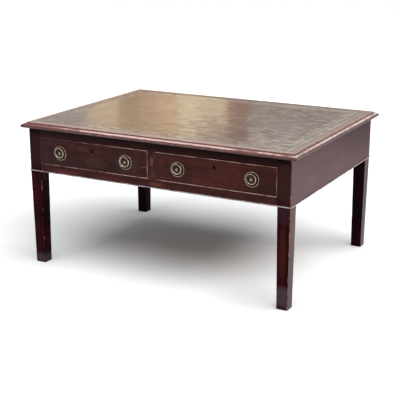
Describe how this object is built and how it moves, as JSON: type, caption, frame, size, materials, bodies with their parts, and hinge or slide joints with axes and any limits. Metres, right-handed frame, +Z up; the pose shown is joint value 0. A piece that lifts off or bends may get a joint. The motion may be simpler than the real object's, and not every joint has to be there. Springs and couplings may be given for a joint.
{
  "type": "writing table",
  "caption": "Low mahogany writing table with a moulded, leather-lined top, frieze drawers with ring handles and locks, and square tapered legs.",
  "frame": {"origin": "on the floor, under the middle of the top", "axes": "+X to the right along the front, +Y to the back, +Z up; the drawers face -Y"},
  "size_m": [1.05, 0.79, 0.52],
  "materials": {
    "mahogany": "dark, waxed, with rubbed arrises",
    "moulding_mahogany": "redder and lighter, polished by use",
    "drawer_oak": "dry, unpolished, darkened by age",
    "pine": "dry, unpolished, darkened by age",
    "leather": "worn and glossy, with a tooled border",
    "brass": "dull with age, darker in the hollows",
    "steel": "dull iron, darkened"
  },
  "bodies": {
    "frame": {"top_board": "pine", "top_edging_front": "moulding_mahogany", "top_edging_back": "moulding_mahogany", "top_edging_left": "moulding_mahogany", "top_edging_right": "moulding_mahogany", "writing_leather": "leather", "leg_front_left": "mahogany", "leg_front_right": "mahogany", "leg_back_left": "mahogany", "leg_back_right": "mahogany", "front_top_rail": "mahogany", "front_bottom_rail": "mahogany", "drawer_divider": "mahogany", "end_apron_left": "mahogany", "end_apron_right": "mahogany", "back_apron": "mahogany", "frieze_bead_front": "moulding_mahogany", "frieze_bead_back": "moulding_mahogany", "frieze_bead_left": "moulding_mahogany", "frieze_bead_right": "moulding_mahogany", "side_runners": "pine", "centre_runner": "pine", "drawer_guides": "pine", "side_kickers": "pine", "centre_kicker": "pine", "drawer_stops": "pine", "glue_blocks": "pine", "top_screws": "steel"},
    "left_drawer": {"left_drawer_front": "mahogany", "left_drawer_outer_side": "drawer_oak", "left_drawer_inner_side": "drawer_oak", "left_drawer_back": "drawer_oak", "left_drawer_bottom": "drawer_oak", "left_cock_bead": "moulding_mahogany", "left_lock_case": "brass", "left_lock_screws": "steel", "left_outer_handle_plate": "brass", "left_outer_handle_post": "brass", "left_inner_handle_plate": "brass", "left_inner_handle_post": "brass"},
    "left_bolt": {"left_lock_bolt": "brass"},
    "left_outer_ring": {"left_outer_handle_ring": "brass"},
    "left_inner_ring": {"left_inner_handle_ring": "brass"},
    "right_drawer": {"right_drawer_front": "mahogany", "right_drawer_outer_side": "drawer_oak", "right_drawer_inner_side": "drawer_oak", "right_drawer_back": "drawer_oak", "right_drawer_bottom": "drawer_oak", "right_cock_bead": "moulding_mahogany", "right_lock_case": "brass", "right_lock_screws": "steel", "right_outer_handle_plate": "brass", "right_outer_handle_post": "brass", "right_inner_handle_plate": "brass", "right_inner_handle_post": "brass"},
    "right_bolt": {"right_lock_bolt": "brass"},
    "right_outer_ring": {"right_outer_handle_ring": "brass"},
    "right_inner_ring": {"right_inner_handle_ring": "brass"}
  },
  "joints": [
    {"name": "left_drawer_slide", "type": "slide", "parent": "frame", "child": "left_drawer", "axis": [0, -1, 0], "range_m": [0, 0.42]},
    {"name": "left_bolt_slide", "type": "slide", "parent": "left_drawer", "child": "left_bolt", "axis": [0, 0, 1], "range_m": [0, 0.007]},
    {"name": "left_outer_ring_swing", "type": "hinge", "parent": "left_drawer", "child": "left_outer_ring", "pos_m": [-0.3685, -0.3865, 0.44075], "axis": [-1, 0, 0], "range_deg": [0, 170]},
    {"name": "left_inner_ring_swing", "type": "hinge", "parent": "left_drawer", "child": "left_inner_ring", "pos_m": [-0.1005, -0.3865, 0.44075], "axis": [-1, 0, 0], "range_deg": [0, 170]},
    {"name": "right_drawer_slide", "type": "slide", "parent": "frame", "child": "right_drawer", "axis": [0, -1, 0], "range_m": [0, 0.42]},
    {"name": "right_bolt_slide", "type": "slide", "parent": "right_drawer", "child": "right_bolt", "axis": [0, 0, 1], "range_m": [0, 0.007]},
    {"name": "right_outer_ring_swing", "type": "hinge", "parent": "right_drawer", "child": "right_outer_ring", "pos_m": [0.3685, -0.3865, 0.44075], "axis": [-1, 0, 0], "range_deg": [0, 170]},
    {"name": "right_inner_ring_swing", "type": "hinge", "parent": "right_drawer", "child": "right_inner_ring", "pos_m": [0.1005, -0.3865, 0.44075], "axis": [-1, 0, 0], "range_deg": [0, 170]}
  ]
}
